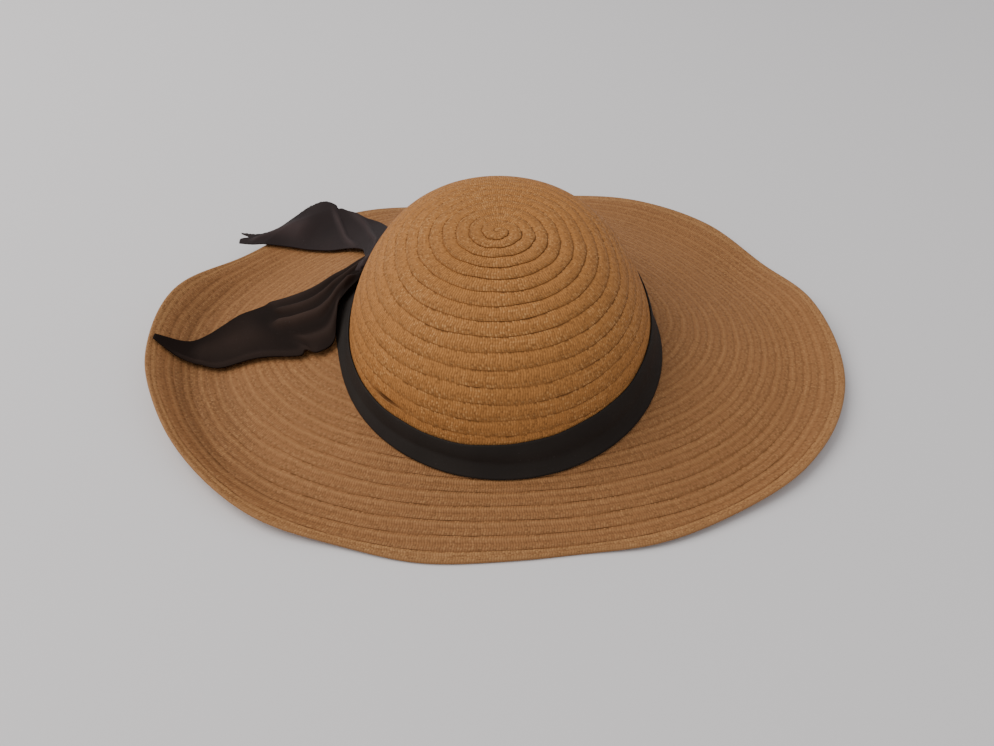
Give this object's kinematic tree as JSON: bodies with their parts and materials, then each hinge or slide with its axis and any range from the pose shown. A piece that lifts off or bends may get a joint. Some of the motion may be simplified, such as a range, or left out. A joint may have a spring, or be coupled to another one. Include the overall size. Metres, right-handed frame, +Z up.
{
  "type": "wide-brimmed straw hat",
  "caption": "Floppy wide-brimmed sun hat of sewn straw braid with a round crown, a wavy brim and a dark ribbon tied at the back left, its ends lying over the brim.",
  "frame": {"origin": "on the surface that the hat lies on, under the middle of its bounding box", "axes": "+X across the hat to the right, seen from the front where the brim is narrow; +Y to the back; +Z up, out of the crown"},
  "size_m": [0.4101, 0.3401, 0.0912],
  "materials": {
    "crown_straw": "matte sewn straw braid",
    "brim_straw": "matte sewn straw braid",
    "band_ribbon": "soft satin",
    "knot_ribbon": "soft satin",
    "tail_front_ribbon": "soft satin",
    "tail_back_ribbon": "soft satin"
  },
  "bodies": {
    "root": {"crown": "crown_straw", "brim": "brim_straw", "band": "band_ribbon", "knot": "knot_ribbon", "tail_front": "tail_front_ribbon", "tail_back": "tail_back_ribbon"}
  },
  "joints": []
}
